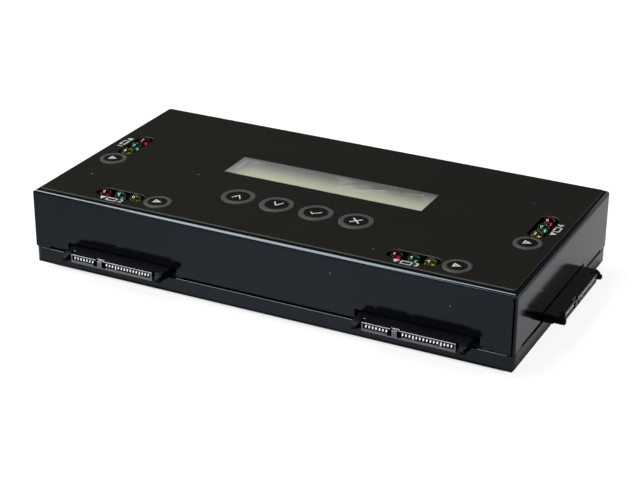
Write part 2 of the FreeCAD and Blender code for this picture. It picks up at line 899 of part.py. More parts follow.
def make_inlet_pin():
    start = inlet_pin_setback - inlet_reach
    return Part.makeCylinder(inlet_pin_diameter / 2, inlet_bore_depth - inlet_pin_setback,
                             Vector(0, start, inlet_axis_height), Vector(0, 1, 0))


def make_power_switch():
    half = power_switch_width / 2
    front = -power_switch_reach
    middle = power_switch_height / 2
    body = block(-half, half, front, power_switch_depth + front, terminal_lift, power_switch_height)
    legs = [block(side * half - (side + 1) / 2 * sheet, side * half - (side - 1) / 2 * sheet,
                  front + sheet, power_switch_depth + front, 0, terminal_lift) for side in (-1, 1)]
    pocket = block(-rocker_length / 2 - rocker_clearance, rocker_length / 2 + rocker_clearance,
                   front, front + rocker_pocket_depth,
                   middle - rocker_width / 2 - rocker_clearance, middle + rocker_width / 2 + rocker_clearance)
    reach = rocker_width + 2 * (trunnion_length + rocker_clearance)
    pivot = post(0, front + rocker_pivot_depth, middle - reach / 2, middle + reach / 2,
                 trunnion_diameter + 2 * trunnion_clearance)
    return body.fuse(legs).removeSplitter().cut([pocket, pivot])


def make_rocker():
    middle = power_switch_height / 2
    half = rocker_length / 2
    low = middle - rocker_width / 2
    flank = half - rocker_flank_inset
    keel = rocker_keel_width / 2
    outline = [(-half, -rocker_rise, low), (0, -rocker_dip, low), (half, -rocker_rise, low),
               (flank, rocker_flank, low), (keel, rocker_keel, low),
               (-keel, rocker_keel, low), (-flank, rocker_flank, low)]
    body = prism(outline, UP * rocker_width)
    reach = rocker_width / 2 + trunnion_length
    pins = post(0, 0, middle - reach, middle + reach, trunnion_diameter)
    rocker = body.fuse(pins).removeSplitter()
    rocker.rotate(Vector(0, 0, 0), UP, rocker_swing / 2)
    rocker.translate(Vector(0, rocker_pivot_depth - power_switch_reach, 0))
    return rocker


def make_switch_terminals():
    y = power_switch_depth - power_switch_reach - terminal_inset
    return [slab(side * terminal_spacing / 2, y, terminal_width, terminal_thickness, 0, terminal_lift)
            for side in (-1, 1)]


# Write one file for each piece, or for each group of like pieces.

def write(name, shape):
    solids = shape if isinstance(shape, list) else [shape]
    result = solids[0] if len(solids) == 1 else Part.makeCompound(solids)
    result.exportStep(f"parts/{name}.step")


os.makedirs("parts", exist_ok=True)

write("cover_shell", make_cover())
write("base_tray", make_tray())
write("rubber_feet", make_feet())
write("panel_overlay", make_overlay())
write("window_lens", make_lens())
write("display_board", make_display_board())
write("display_posts", make_display_posts())
write("display_bezel", make_bezel())
write("display_glass", make_glass())
write("display_backlight", make_backlight())
write("display_pin_strip", make_display_strip())
write("main_board", make_main_board())
write("control_board", make_control_board())
write("lower_spacers", make_lower_spacers())
write("middle_spacers", make_middle_spacers())
write("upper_spacers", make_upper_spacers())
write("case_screws", make_case_screws())
write("link_socket", make_link_socket())
write("link_plug", make_link_plug())
write("controller_chip", make_controller())
write("bridge_chips", make_bridge_chips())
write("power_coils", make_coils())
write("power_capacitors", make_cans())

for key_name, (key_x, key_y, key_diameter) in key_points().items():
    write(f"{key_name}_key", make_key(key_x, key_y, key_diameter))
    write(f"{key_name}_plunger", make_plunger(key_x, key_y))
write("key_switches", [make_switch(x, y) for x, y, _ in key_points().values()])

for lamp_place, lamp_colour in enumerate(lamp_colours):
    write(f"{lamp_colour}_lamps", at_lamp(make_lamp(), lamp_place))
write("lamp_bars", at_lamp(make_lamp_bar(), middle_lamp))

housing = make_housing()
contacts = Part.makeCompound([make_contact(*contact) for contact in contact_row()])
for number, (port_wall, port_along, _, _) in ports.items():
    write(f"drive_port_{number}", on_wall(housing, port_wall, port_along, main_top))
    write(f"drive_contacts_{number}", on_wall(contacts, port_wall, port_along, main_top))

write("power_inlet", on_wall(make_inlet(), "rear", -inlet_x, main_top))
write("power_inlet_pin", on_wall(make_inlet_pin(), "rear", -inlet_x, main_top))
write("power_switch", on_wall(make_power_switch(), "rear", -power_switch_x, main_top))
write("power_rocker", on_wall(make_rocker(), "rear", -power_switch_x, main_top))
switch_terminals = Part.makeCompound(make_switch_terminals())
write("switch_terminals", on_wall(switch_terminals, "rear", -power_switch_x, main_top))
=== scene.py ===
import math
import bmesh
import bpy
from mathutils import Matrix, Quaternion, Vector


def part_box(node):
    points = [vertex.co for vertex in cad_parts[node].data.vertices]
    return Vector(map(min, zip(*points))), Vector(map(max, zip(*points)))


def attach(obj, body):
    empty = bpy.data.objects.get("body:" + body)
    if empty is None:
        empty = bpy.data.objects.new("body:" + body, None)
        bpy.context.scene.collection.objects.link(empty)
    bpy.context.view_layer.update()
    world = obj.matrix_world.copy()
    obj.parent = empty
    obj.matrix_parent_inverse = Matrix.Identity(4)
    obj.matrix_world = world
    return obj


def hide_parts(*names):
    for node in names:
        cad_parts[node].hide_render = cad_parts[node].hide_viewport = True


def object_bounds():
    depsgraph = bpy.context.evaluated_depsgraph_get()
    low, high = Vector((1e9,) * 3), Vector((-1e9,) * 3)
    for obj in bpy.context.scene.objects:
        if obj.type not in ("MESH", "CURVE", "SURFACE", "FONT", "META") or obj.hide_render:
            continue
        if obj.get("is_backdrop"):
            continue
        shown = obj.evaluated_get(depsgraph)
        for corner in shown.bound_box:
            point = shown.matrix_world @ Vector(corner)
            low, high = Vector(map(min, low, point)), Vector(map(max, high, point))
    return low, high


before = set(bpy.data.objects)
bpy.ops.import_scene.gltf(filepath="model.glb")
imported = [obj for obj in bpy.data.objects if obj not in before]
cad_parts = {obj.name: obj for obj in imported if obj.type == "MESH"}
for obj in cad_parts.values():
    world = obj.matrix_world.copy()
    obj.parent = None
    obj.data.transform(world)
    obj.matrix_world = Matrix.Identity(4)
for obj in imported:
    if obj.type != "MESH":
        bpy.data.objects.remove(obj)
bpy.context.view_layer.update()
MM = 0.001


# Base tray: the shallow lower shell, folded from 1 mm steel sheet and sprayed black.
# Its rolled rim meets the cover at the seam, and lips behind the rim keep the cover's walls in line.

def node(tree, kind, inputs=None, **settings):
    made = tree.nodes.new(kind)
    for name, value in settings.items():
        setattr(made, name, value)
    for socket, value in (inputs or {}).items():
        if isinstance(value, bpy.types.NodeSocket):
            tree.links.new(value, made.inputs[socket])
        else:
            made.inputs[socket].default_value = value
    return made


def effect_group(name, inputs, outputs):
    tree = bpy.data.node_groups.new(name, "ShaderNodeTree")
    kinds = {float: "NodeSocketFloat", tuple: "NodeSocketColor", Vector: "NodeSocketVector"}
    for label, value in inputs.items():
        socket = tree.interface.new_socket(label, in_out="INPUT", socket_type=kinds[type(value)])
        socket.default_value = value
    for label, kind in outputs.items():
        tree.interface.new_socket(label, in_out="OUTPUT", socket_type=kinds[kind])
    return tree, tree.nodes.new("NodeGroupInput").outputs, tree.nodes.new("NodeGroupOutput").inputs


def math_node(tree, operation, *values, clamp=False):
    made = node(tree, "ShaderNodeMath", dict(enumerate(values)), operation=operation, use_clamp=clamp)
    return made.outputs[0]


def ramp_up(tree, value, low, high):
    ends = {"Value": value, "From Min": low, "From Max": high}
    return node(tree, "ShaderNodeMapRange", ends, interpolation_type="SMOOTHSTEP").outputs["Result"]


def mixed(tree, share, first, second, blend="MIX"):
    sockets = {0: share, 6: first, 7: second}
    return node(tree, "ShaderNodeMix", sockets, data_type="RGBA", blend_type=blend).outputs[2]


def object_place(tree):
    return node(tree, "ShaderNodeTexCoord").outputs["Object"]


# Mottle changes a finish a little from place to place: tone, gloss and a fine raised grain.
mottle, given, result = effect_group(
    "mottle",
    {"Color": (0.5, 0.5, 0.5, 1.0), "Tone Change": 0.2, "Patch Scale": 60.0, "Roughness": 0.4,
     "Roughness Change": 0.1, "Grain Scale": 2500.0, "Grain Depth": 0.00001},
    {"Color": tuple, "Roughness": float, "Normal": Vector})
# Noise stays close to its middle value, so its swing is widened before it is used.
noise_middle = 0.5
noise_gain = 4.0
streak_fineness = 4.3


def noise_at(tree, place, scale, detail):
    values = {"Vector": place, "Scale": scale, "Detail": detail}
    return node(tree, "ShaderNodeTexNoise", values).outputs["Fac"]


def varied(tree, noise, change, value, clamp=False):
    swing = math_node(tree, "SUBTRACT", noise, noise_middle)
    reach = math_node(tree, "MULTIPLY", change, noise_gain)
    return math_node(tree, "MULTIPLY_ADD", swing, reach, value, clamp=clamp)


place = object_place(mottle)
patches = noise_at(mottle, place, given["Patch Scale"], 5.0)
streak_scale = math_node(mottle, "MULTIPLY", given["Patch Scale"], streak_fineness)
streaks = noise_at(mottle, place, streak_scale, 3.0)
grain = noise_at(mottle, place, given["Grain Scale"], 2.0)
tone = varied(mottle, patches, given["Tone Change"], 1.0)
grey = node(mottle, "ShaderNodeCombineColor", {"Red": tone, "Green": tone, "Blue": tone}).outputs["Color"]
gloss = varied(mottle, streaks, given["Roughness Change"], given["Roughness"], clamp=True)
bump = node(mottle, "ShaderNodeBump", {"Height": grain, "Distance": given["Grain Depth"]})
mottle.links.new(mixed(mottle, 1.0, given["Color"], grey, "MULTIPLY"), result["Color"])
mottle.links.new(gloss, result["Roughness"])
mottle.links.new(bump.outputs["Normal"], result["Normal"])

# Edge rub is strongest along the edges of a box, broken up by noise, as where paint wears thin.
worn_thin = 0.45
worn_through = 0.65
edge_rub, given, result = effect_group(
    "edge_rub",
    {"Low": Vector((0, 0, 0)), "High": Vector((1, 1, 1)), "Width": 0.001, "Breakup Scale": 300.0},
    {"Mask": float})
place = object_place(edge_rub)
above_low = node(edge_rub, "ShaderNodeVectorMath", {0: place, 1: given["Low"]}, operation="SUBTRACT")
below_high = node(edge_rub, "ShaderNodeVectorMath", {0: given["High"], 1: place}, operation="SUBTRACT")
nearest = node(edge_rub, "ShaderNodeVectorMath", {0: above_low.outputs[0], 1: below_high.outputs[0]},
               operation="MINIMUM")
away = node(edge_rub, "ShaderNodeSeparateXYZ", {0: nearest.outputs[0]}).outputs
lesser = math_node(edge_rub, "MINIMUM", away["X"], away["Y"])
greater = math_node(edge_rub, "MAXIMUM", away["X"], away["Y"])
middle_one = math_node(edge_rub, "MINIMUM", greater, away["Z"])
second_nearest = math_node(edge_rub, "MAXIMUM", lesser, middle_one)
noise = noise_at(edge_rub, place, given["Breakup Scale"], 4.0)
reach = math_node(edge_rub, "MULTIPLY", given["Width"], noise)
close = math_node(edge_rub, "SUBTRACT", 1.0, ramp_up(edge_rub, second_nearest, 0.0, reach))
broken = ramp_up(edge_rub, noise, worn_thin, worn_through)
edge_rub.links.new(math_node(edge_rub, "MULTIPLY", close, broken), result["Mask"])

# Dust is a thin scatter of round specks of uneven size.
dust, given, result = effect_group(
    "dust", {"Spacing": 0.006, "Speck Size": 0.00025, "Amount": 0.3}, {"Mask": float})
cell_count = math_node(dust, "DIVIDE", 1.0, given["Spacing"])
cells = node(dust, "ShaderNodeTexVoronoi", {"Vector": object_place(dust), "Scale": cell_count})
chance = node(dust, "ShaderNodeSeparateColor", {0: cells.outputs["Color"]}).outputs
size = math_node(dust, "MULTIPLY", given["Speck Size"], chance["Green"])
size_in_cells = math_node(dust, "MULTIPLY", size, cell_count)
speck = math_node(dust, "LESS_THAN", cells.outputs["Distance"], size_in_cells)
kept = math_node(dust, "LESS_THAN", chance["Red"], given["Amount"])
dust.links.new(math_node(dust, "MULTIPLY", speck, kept), result["Mask"])


def plain_finish(name, colour, roughness, tone_change=0.12, patch_scale=80.0, roughness_change=0.08,
                 grain_scale=2500.0, grain_depth=0.006 * MM, **sockets):
    material = bpy.data.materials.new(name)
    material.use_nodes = True
    tree = material.node_tree
    shader = tree.nodes["Principled BSDF"]
    for socket, value in sockets.items():
        shader.inputs[socket.replace("_", " ")].default_value = value
    values = {"Color": (*colour, 1.0), "Tone Change": tone_change, "Patch Scale": patch_scale,
              "Roughness": roughness, "Roughness Change": roughness_change,
              "Grain Scale": grain_scale, "Grain Depth": grain_depth}
    skin = node(tree, "ShaderNodeGroup", values, node_tree=mottle)
    tree.links.new(skin.outputs["Color"], shader.inputs["Base Color"])
    tree.links.new(skin.outputs["Roughness"], shader.inputs["Roughness"])
    tree.links.new(skin.outputs["Normal"], shader.inputs["Normal"])
    return material


def lay_over(material, mask, colour):
    # The colour laid over the finish may also be the output of a node.
    tree = material.node_tree
    base = tree.nodes["Principled BSDF"].inputs["Base Color"]
    top = (*colour, 1.0) if isinstance(colour, tuple) else colour
    tree.links.new(mixed(tree, mask, base.links[0].from_socket, top), base)


def add_dust(material, colour, spacing, size, amount):
    values = {"Spacing": spacing, "Speck Size": size, "Amount": amount}
    specks = node(material.node_tree, "ShaderNodeGroup", values, node_tree=dust)
    lay_over(material, specks.outputs["Mask"], colour)


def add_edge_rub(material, low, high, width, colour):
    values = {"Low": low, "High": high, "Width": width}
    rub = node(material.node_tree, "ShaderNodeGroup", values, node_tree=edge_rub)
    lay_over(material, rub.outputs["Mask"], colour)


merge_distance = 0.002 * MM
flat_under = math.radians(1)
edge_room = 2.5


def flat_form(name):
    # The model's own shape of a piece, with its triangles joined into whole faces.
    form = bmesh.new()
    form.from_mesh(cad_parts[name].data)
    bmesh.ops.remove_doubles(form, verts=form.verts, dist=merge_distance)
    bmesh.ops.dissolve_limit(form, angle_limit=flat_under, verts=form.verts, edges=form.edges)
    return form


def round_edges(form, width, segments=2, sharper_than=30):
    # Sharp edges are rounded where the edges beside them leave room for it.
    roomy = {v for v in form.verts if all(e.calc_length() > edge_room * width for e in v.link_edges)}
    sharp = [e for e in form.edges if len(e.link_faces) == 2 and roomy.issuperset(e.verts)
             and e.calc_face_angle() > math.radians(sharper_than)]
    bmesh.ops.bevel(form, geom=sharp, offset=width, offset_type="OFFSET", affect="EDGES",
                    segments=segments, profile=0.5, material=-1, clamp_overlap=True)


def add_piece(form, name, body, slot, *materials, smooth_under=40):
    mesh = bpy.data.meshes.new(name)
    for face in form.faces:
        face.smooth = True
    form.to_mesh(mesh)
    form.free()
    mesh.set_sharp_from_angle(angle=math.radians(smooth_under))
    for material in materials:
        mesh.materials.append(material)
    piece = bpy.data.objects.new(name, mesh)
    bpy.context.scene.collection.objects.link(piece)
    even = piece.modifiers.new("even_shading", "WEIGHTED_NORMAL")
    even.keep_sharp = True
    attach(piece, body)
    return piece


def finished_copy(name, width, slot, *materials, body="case", segments=2):
    form = flat_form(name)
    round_edges(form, width, segments)
    piece = add_piece(form, f"{name}_finished", body, slot, *materials)
    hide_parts(name)


def dress(material, *names):
    for name in names:
        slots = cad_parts[name].data.materials
        slots.clear()
        slots.append(material)


case_black = (0.0022, 0.0032, 0.0048)
thin_paint = (0.02, 0.021, 0.023)
rub_width = 1.4 * MM
tray_edge = 0.12 * MM
case_paint = plain_finish("case_paint", case_black, roughness=0.13, tone_change=0.1, patch_scale=25.0,
                          roughness_change=0.02, grain_scale=700.0, grain_depth=0.008 * MM,
                          Specular_IOR_Level=0.23, Specular_Tint=(0.84, 1.0, 1.16, 1.0))
cover_low, case_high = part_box("cover_shell")
case_low = Vector((cover_low.x, cover_low.y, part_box("base_tray")[0].z))
add_edge_rub(case_paint, case_low, case_high, rub_width, thin_paint)
add_dust(case_paint, (0.3, 0.31, 0.3), spacing=9 * MM, size=0.35 * MM, amount=0.12)
finished_copy("base_tray", tray_edge, "case_paint", case_paint)


# Feet: four squares moulded in soft black rubber, with slanted sides and a rounded rim.
# They are stuck under the tray near its corners, and gather dust.

foot_edge = 0.5 * MM
foot_rubber = plain_finish("foot_rubber", (0.016, 0.016, 0.016), roughness=0.75, grain_scale=1500.0,
                           grain_depth=0.02 * MM)
add_dust(foot_rubber, (0.2, 0.19, 0.18), spacing=2 * MM, size=0.3 * MM, amount=0.2)
finished_copy("rubber_feet", foot_edge, "foot_rubber", foot_rubber, segments=3)


# Main board: glass-fibre board with green lacquer over copper tracks, screwed to the lower spacers.
# It carries the controller, one bridge chip for each port, and the coils and cans of the supply.
# Its bare cut edges show pale beside the connectors.

lacquer_green = (0.02, 0.11, 0.045)
track_green = (0.07, 0.26, 0.11)
track_scale = 420.0
track_share = 0.16
board_lacquer = plain_finish("board_lacquer", lacquer_green, roughness=0.3, grain_scale=3000.0,
                             Coat_Weight=0.4)
tree = board_lacquer.node_tree
tracks = node(tree, "ShaderNodeTexVoronoi", {"Vector": object_place(tree), "Scale": track_scale},
              distance="CHEBYCHEV", feature="F1")
lines = math_node(tree, "LESS_THAN", tracks.outputs["Distance"], track_share)
lay_over(board_lacquer, lines, track_green)
board_fibre = plain_finish("board_fibre", (0.62, 0.6, 0.46), roughness=0.6, tone_change=0.2,
                           patch_scale=700.0, grain_depth=0.02 * MM)
chip_moulding = plain_finish("chip_moulding", (0.016, 0.016, 0.018), roughness=0.55,
                             grain_depth=0.01 * MM)
ferrite = plain_finish("ferrite", (0.055, 0.055, 0.06), roughness=0.6, tone_change=0.25,
                       patch_scale=400.0, grain_depth=0.02 * MM)
can_metal = plain_finish("can_metal", (0.72, 0.72, 0.74), roughness=0.3, Metallic=1.0)
upright_under = 0.5


def mark_side_faces(form):
    # The second material goes on every upright face.
    for face in form.faces:
        face.material_index = 1 if abs(face.normal.z) < upright_under else 0


form = flat_form("main_board")
mark_side_faces(form)
board = add_piece(form, "main_board_finished", "case", "board_green", board_lacquer, board_fibre)
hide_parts("main_board")
dress(chip_moulding, "controller_chip", "bridge_chips")
dress(ferrite, "power_coils")
dress(can_metal, "power_capacitors")


# Drive connectors: black glass-filled mouldings with keyed slots and guide ears, pegged to the board.
# Their outward faces are painted paler as painted light, and a pale band on the rounded upper rim is a
# painted highlight; the ears are matt.
# Each holds 22 spring contacts, stamped from thin strip and plated; their upper parts under the rim are
# painted dark as painted shade.

port_black = (0.002, 0.0025, 0.004)
port_sheen = (0.85, 0.92, 1.1, 1.0)
port_plastic = plain_finish("port_plastic", port_black, roughness=0.2, tone_change=0.2, patch_scale=300.0,
                            roughness_change=0.04, grain_scale=3500.0, grain_depth=0.004 * MM,
                            Specular_IOR_Level=0.8, Specular_Tint=port_sheen)
add_dust(port_plastic, (0.3, 0.31, 0.33), spacing=3 * MM, size=0.2 * MM, amount=0.1)
contact_plate = plain_finish("contact_plate", (0.95, 0.94, 0.9), roughness=0.42, tone_change=0.06,
                             patch_scale=900.0, Metallic=1.0)
port_matt = plain_finish("port_matt", (0.007, 0.0075, 0.009), roughness=0.5, tone_change=0.2,
                         patch_scale=300.0, grain_scale=3500.0, grain_depth=0.012 * MM,
                         Specular_IOR_Level=0.03)
# Paler grey painted on the connectors' outward faces: painted light.
port_mouth_painted_light = plain_finish("port_mouth_painted_light", (0.17, 0.18, 0.205), roughness=0.45, tone_change=0.2,
                          patch_scale=500.0, grain_scale=3500.0, grain_depth=0.01 * MM,
                          Specular_IOR_Level=0.3)
port_top = plain_finish("port_top", port_black, roughness=0.3, tone_change=0.2, patch_scale=300.0,
                        grain_scale=3500.0, grain_depth=0.006 * MM, Specular_IOR_Level=0.25,
                        Specular_Tint=port_sheen)
# Pale grey painted along the connectors' rounded upper rim: a painted highlight.
port_rim_highlight = plain_finish("port_rim_highlight", (0.6, 0.61, 0.62), roughness=0.4, tone_change=0.2, patch_scale=900.0)
# Dark finish for the contacts' upright sides, partly their dull punched edges and partly painted shade
# between them, and for their upper parts, painted shade under the rim.
contact_edge_and_shade = plain_finish("contact_edge_and_shade", (0.05, 0.046, 0.04), roughness=0.5, Specular_IOR_Level=0.3)
port_finishes = (port_plastic, port_matt, port_mouth_painted_light, port_rim_highlight, port_top)
contact_finishes = (contact_plate, contact_edge_and_shade)
leftward = Vector((-1, 0, 0))
forward = Vector((0, -1, 0))
port_outward = {1: leftward, 2: forward, 3: forward, 4: -leftward}
port_numbers = tuple(port_outward)
port_edge = 0.12 * MM
contact_burr = 0.05 * MM
ear_share = 0.84
rim_depth = 0.7 * MM
contact_shade_from = 0.95 * MM
level_within = 0.01 * MM
# How far a face's normal points up, outward or sideways where the face counts as looking that way.
tilted = 0.3
sideways = 0.7
facing = 0.9
level = 0.95
for number, outward in port_outward.items():
    port_low, port_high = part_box(f"drive_port_{number}")
    port_middle = (port_low + port_high) / 2
    along = Vector((-outward.y, outward.x, 0))
    ears_from = ear_share * abs((port_high - port_middle).dot(along))
    form = flat_form(f"drive_port_{number}")
    round_edges(form, port_edge)
    # Outward faces take the paler grey as painted light, and the rounded rim the pale grey as a painted
    # highlight.
    for face in form.faces:
        centre = face.calc_center_median()
        rounded = face.normal.z < level and face.normal.dot(outward) > tilted
        if abs((centre - port_middle).dot(along)) > ears_from:
            finish = port_matt
        elif face.normal.z > tilted:
            on_rim = rounded and centre.z > port_high.z - rim_depth
            on_top = not rounded and centre.z > port_high.z - level_within
            finish = port_rim_highlight if on_rim else port_top if on_top else port_matt
        else:
            finish = port_mouth_painted_light if face.normal.dot(outward) > facing else port_plastic
        face.material_index = port_finishes.index(finish)
    port = add_piece(form, f"drive_port_{number}_finished", "case", "port_black", *port_finishes)
    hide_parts(f"drive_port_{number}")
    form = flat_form(f"drive_contacts_{number}")
    round_edges(form, contact_burr, segments=1)
    # Above this height the contacts are painted dark: painted shade under the rim.
    shade_z = port_high.z - contact_shade_from
    bmesh.ops.bisect_plane(form, geom=form.verts[:] + form.edges[:] + form.faces[:],
                           plane_co=(0, 0, shade_z), plane_no=(0, 0, 1))
    for face in form.faces:
        dark = face.calc_center_median().z > shade_z or abs(face.normal.dot(along)) > sideways
        face.material_index = contact_finishes.index(contact_edge_and_shade if dark else contact_plate)
    contacts = add_piece(form, f"drive_contacts_{number}_finished", "case", "contact_gold",
                         *contact_finishes)
    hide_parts(f"drive_contacts_{number}")


# Power inlet and rocker switch on the rear edge: black mouldings, a nickel pin and plated terminals.
# The rocker carries a moulded line and ring, filled with white paint.

dull_moulding = plain_finish("dull_moulding", (0.014, 0.014, 0.015), roughness=0.5, grain_scale=3000.0,
                             grain_depth=0.015 * MM)
pin_nickel = plain_finish("pin_nickel", (0.66, 0.65, 0.62), roughness=0.2, Metallic=1.0)
terminal_brass = plain_finish("terminal_brass", (0.75, 0.6, 0.32), roughness=0.3, Metallic=1.0)
rocker_gloss = plain_finish("rocker_gloss", (0.013, 0.013, 0.014), roughness=0.2, roughness_change=0.05)
white_ink = plain_finish("white_ink", (0.72, 0.72, 0.7), roughness=0.5, tone_change=0.08,
                         patch_scale=900.0)
moulding_edge = 0.12 * MM
rocker_edge = 0.15 * MM
finished_copy("power_inlet", moulding_edge, "moulding_black", dull_moulding)
finished_copy("power_switch", moulding_edge, "moulding_black", dull_moulding)
finished_copy("power_rocker", rocker_edge, "rocker_black", rocker_gloss, body="rocker")
dress(pin_nickel, "power_inlet_pin")
dress(terminal_brass, "switch_terminals")


def raise_print(form, thickness):
    # A flat shape becomes a thin closed plate, standing on the plane it was drawn on.
    grown = bmesh.ops.extrude_face_region(form, geom=form.faces[:])["geom"]
    bmesh.ops.translate(form, verts=[v for v in grown if isinstance(v, bmesh.types.BMVert)],
                        vec=(0, 0, thickness))
    bmesh.ops.recalc_face_normals(form, faces=form.faces)


def drawn_outline(form, points):
    return form.faces.new([form.verts.new((x, y, 0)) for x, y in points])


def hollow_out(form, face, stroke):
    # Only a border as wide as the stroke is left of a flat shape.
    face.normal_update()
    bmesh.ops.inset_region(form, faces=[face], thickness=stroke, use_boundary=True, use_even_offset=True)
    bmesh.ops.delete(form, geom=[face], context="FACES_ONLY")


def drawn_ring(form, radius, stroke, segments=32):
    bmesh.ops.create_circle(form, cap_ends=True, radius=radius, segments=segments)
    form.faces.ensure_lookup_table()
    hollow_out(form, form.faces[-1], stroke)


def drawn_bar(form, width, height):
    return drawn_outline(form, ((-width / 2, -height / 2), (width / 2, -height / 2),
                                (width / 2, height / 2), (-width / 2, height / 2)))


ink_thickness = 0.03 * MM
rocker_mark_size = 2.0 * MM
rocker_mark_stroke = 0.35 * MM
facing_back = 0.8
rocker_form = flat_form("power_rocker")
rocker_faces = [face for face in rocker_form.faces if face.normal.y > facing_back]
rocker_faces = sorted(rocker_faces, key=lambda face: -face.calc_area())[:2]
rocker_faces.sort(key=lambda face: face.calc_center_median().z)
rocker_marks = {"rocker_ring": lambda form: drawn_ring(form, rocker_mark_size / 2, rocker_mark_stroke),
                "rocker_line": lambda form: drawn_bar(form, rocker_mark_stroke, rocker_mark_size)}
for (name, draw), face in zip(rocker_marks.items(), rocker_faces):
    form = bmesh.new()
    draw(form)
    raise_print(form, ink_thickness)
    across = Vector((0, 0, 1)).cross(face.normal).normalized()
    up = face.normal.cross(across)
    turn = Matrix((across, up, face.normal)).transposed().to_4x4()
    move = Matrix.Translation(face.calc_center_median()) @ turn
    bmesh.ops.transform(form, matrix=move, verts=form.verts)
    add_piece(form, name, "rocker", "rocker_black", white_ink)
rocker_form.free()


# Columns: hexagonal brass spacers, three to a corner, that stack the boards between tray and cover.
# The middle one's stud passes the control board into the upper one, which is fixed under the cover.

spacer_brass = plain_finish("spacer_brass", (0.72, 0.56, 0.27), roughness=0.32, tone_change=0.1,
                            Metallic=1.0)
dress(spacer_brass, "lower_spacers", "middle_spacers", "upper_spacers")


# Control board: lacquered glass fibre, clamped between the middle and the upper spacers.
# Key switches, lamp bars and the plug of the link to the main board sit on it, all black mouldings.

dress(board_lacquer, "control_board", "display_board")
dress(dull_moulding, "key_switches", "lamp_bars", "link_socket", "link_plug", "display_pin_strip")


# Display: a glass cell over a white diffuser, held to its board by a black sheet bezel.
# The cell shows two faint rows of sixteen character places.

cell_tint = (0.74, 0.78, 0.6)
cell_shade = (0.66, 0.7, 0.54)
display_cell = plain_finish("display_cell", cell_tint, roughness=0.35, tone_change=0.03, patch_scale=20.0,
                            roughness_change=0.03)
character_pitch = Vector((3.55, 5.95, 1.0)) * MM
character_share = (0.83, 0.94)
places_each_way = (8.0, 1.0)
tree = display_cell.node_tree
glass_low, glass_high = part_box("display_glass")
counted = node(tree, "ShaderNodeMapping", {
    "Vector": object_place(tree), "Location": (glass_low + glass_high) / 2, "Scale": character_pitch},
    vector_type="TEXTURE")
along = node(tree, "ShaderNodeSeparateXYZ", {0: counted.outputs[0]}).outputs
inside = [math_node(tree, "LESS_THAN", math_node(tree, "FRACT", along[axis]), share)
          for axis, share in zip("XY", character_share)]
rows = [math_node(tree, "LESS_THAN", math_node(tree, "ABSOLUTE", along[axis]), count)
        for axis, count in zip("XY", places_each_way)]
in_place = math_node(tree, "MULTIPLY", *inside)
in_rows = math_node(tree, "MULTIPLY", *rows)
lay_over(display_cell, math_node(tree, "MULTIPLY", in_place, in_rows), cell_shade)
bezel_black = plain_finish("bezel_black", (0.012, 0.012, 0.012), roughness=0.45)
backlight_white = plain_finish("backlight_white", (0.75, 0.76, 0.72), roughness=0.6)
post_nylon = plain_finish("post_nylon", (0.74, 0.72, 0.66), roughness=0.5)
dress(display_cell, "display_glass")
dress(bezel_black, "display_bezel")
dress(backlight_white, "display_backlight")
dress(post_nylon, "display_posts")


# Lamps: round domes of tinted clear resin, cast round a bright cup and post on two square leads.
# One red, one green and one yellow stand in each port's slot, on the control board.

def separate_boxes(name):
    # The lowest and highest corners of each separate solid of a piece.
    form = flat_form(name)
    left = set(form.verts)
    boxes = []
    while left:
        group = set()
        edge = {next(iter(left))}
        while edge:
            group |= edge
            edge = {e.other_vert(v) for v in edge for e in v.link_edges} - group
        left -= group
        corners = [[pick(v.co[axis] for v in group) for axis in range(3)] for pick in (min, max)]
        boxes.append([Vector(corner) for corner in corners])
    form.free()
    return sorted(boxes, key=lambda box: (box[0].x, box[0].y))


def spun(form, outline, steps):
    # A closed round shape from half of its outline, given as distances from the axis and heights.
    start = set(form.verts)
    points = [form.verts.new((away, 0, height)) for away, height in outline]
    lines = [form.edges.new(pair) for pair in zip(points, points[1:])]
    bmesh.ops.spin(form, geom=points + lines, cent=(0, 0, 0), axis=(0, 0, 1), angle=math.tau,
                   steps=steps, use_merge=True)
    made = [v for v in form.verts if v not in start]
    bmesh.ops.remove_doubles(form, verts=made, dist=merge_distance)
    return [v for v in form.verts if v not in start]


def bar_between(form, low, high):
    made = bmesh.ops.create_cube(form, size=1.0)["verts"]
    bmesh.ops.scale(form, vec=Vector(high) - Vector(low), verts=made)
    bmesh.ops.translate(form, vec=(Vector(high) + Vector(low)) / 2, verts=made)
    return made


